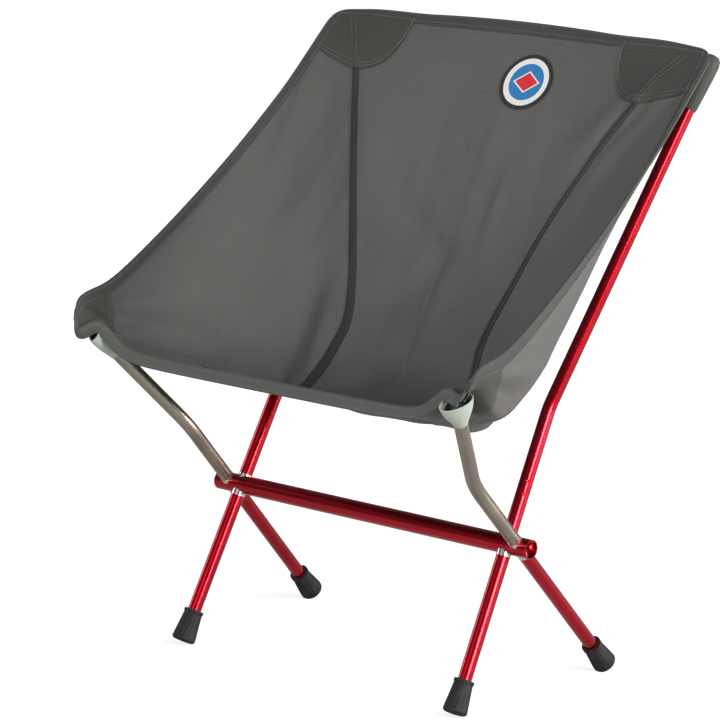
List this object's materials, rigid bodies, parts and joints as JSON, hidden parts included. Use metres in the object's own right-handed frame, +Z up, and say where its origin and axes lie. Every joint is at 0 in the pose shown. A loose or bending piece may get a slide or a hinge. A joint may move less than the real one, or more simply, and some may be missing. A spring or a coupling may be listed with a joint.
{
  "type": "folding camp chair",
  "caption": "Low camp chair: a fabric bucket sling on bent aluminium poles that cross a tubular bar, with rubber-footed legs that pull off spring-loaded ferrules.",
  "frame": {"origin": "centre of the bounding box on the floor", "axes": "+X to the sitter's left along the crossbar, +Y to the back, +Z up"},
  "size_m": [0.5224, 0.4172, 0.6328],
  "materials": {
    "red_anodised": "red anodised tube",
    "titanium_anodised": "warm grey anodised tube",
    "bare_aluminium": "bare turned aluminium",
    "black_rubber": "moulded matt rubber",
    "black_plastic": "moulded nylon",
    "shock_cord": "braided elastic cord",
    "ripstop": "ripstop polyester",
    "binding_tape": "folded woven tape",
    "patch_cloth": "heavier ripstop",
    "pocket_cloth": "light ripstop",
    "badge": "plain sewn badge"
  },
  "bodies": {
    "chair": {"badge": "badge", "crossbar": "red_anodised", "front_binding": "binding_tape", "left_arm_collar": "bare_aluminium", "left_arm_ferrule": "bare_aluminium", "left_arm_pole": "titanium_anodised", "left_arm_tip": "black_plastic", "left_back_corner_patch": "patch_cloth", "left_back_pole_pocket": "pocket_cloth", "left_front_corner_patch": "patch_cloth", "left_front_leg_collar": "bare_aluminium", "left_front_pole_pocket": "pocket_cloth", "left_front_shock_cord": "shock_cord", "left_rear_leg_collar": "bare_aluminium", "left_rear_shock_cord": "shock_cord", "left_seam_tape": "binding_tape", "left_side_binding": "binding_tape", "left_upright_collar": "bare_aluminium", "left_upright_ferrule": "bare_aluminium", "left_upright_joint_ferrule": "bare_aluminium", "left_upright_lower_pole": "red_anodised", "left_upright_tip": "black_plastic", "left_upright_upper_pole": "red_anodised", "left_wing_panel": "ripstop", "main_panel": "ripstop", "right_arm_collar": "bare_aluminium", "right_arm_ferrule": "bare_aluminium", "right_arm_pole": "titanium_anodised", "right_arm_tip": "black_plastic", "right_back_corner_patch": "patch_cloth", "right_back_pole_pocket": "pocket_cloth", "right_front_corner_patch": "patch_cloth", "right_front_leg_collar": "bare_aluminium", "right_front_pole_pocket": "pocket_cloth", "right_front_shock_cord": "shock_cord", "right_rear_leg_collar": "bare_aluminium", "right_rear_shock_cord": "shock_cord", "right_seam_tape": "binding_tape", "right_side_binding": "binding_tape", "right_upright_collar": "bare_aluminium", "right_upright_ferrule": "bare_aluminium", "right_upright_joint_ferrule": "bare_aluminium", "right_upright_lower_pole": "red_anodised", "right_upright_tip": "black_plastic", "right_upright_upper_pole": "red_anodised", "right_wing_panel": "ripstop", "top_binding": "binding_tape"},
    "left_front_leg_body": {"left_front_leg": "red_anodised", "left_front_foot": "black_rubber"},
    "left_rear_leg_body": {"left_rear_leg": "red_anodised", "left_rear_foot": "black_rubber"},
    "right_front_leg_body": {"right_front_leg": "red_anodised", "right_front_foot": "black_rubber"},
    "right_rear_leg_body": {"right_rear_leg": "red_anodised", "right_rear_foot": "black_rubber"}
  },
  "joints": [
    {"name": "left_front_leg_pull", "type": "slide", "parent": "chair", "child": "left_front_leg_body", "axis": [0.0301, -0.4941, -0.8689], "range_m": [0, 0.04], "stiffness_N_per_m": 120, "springref_m": -0.06, "deforming": ["left_front_shock_cord"]},
    {"name": "left_rear_leg_pull", "type": "slide", "parent": "chair", "child": "left_rear_leg_body", "axis": [0.0324, 0.6676, -0.7439], "range_m": [0, 0.04], "stiffness_N_per_m": 120, "springref_m": -0.06, "deforming": ["left_rear_shock_cord"]},
    {"name": "right_front_leg_pull", "type": "slide", "parent": "chair", "child": "right_front_leg_body", "axis": [-0.0301, -0.4941, -0.8689], "range_m": [0, 0.04], "stiffness_N_per_m": 120, "springref_m": -0.06, "deforming": ["right_front_shock_cord"]},
    {"name": "right_rear_leg_pull", "type": "slide", "parent": "chair", "child": "right_rear_leg_body", "axis": [-0.0324, 0.6676, -0.7439], "range_m": [0, 0.04], "stiffness_N_per_m": 120, "springref_m": -0.06, "deforming": ["right_rear_shock_cord"]}
  ]
}
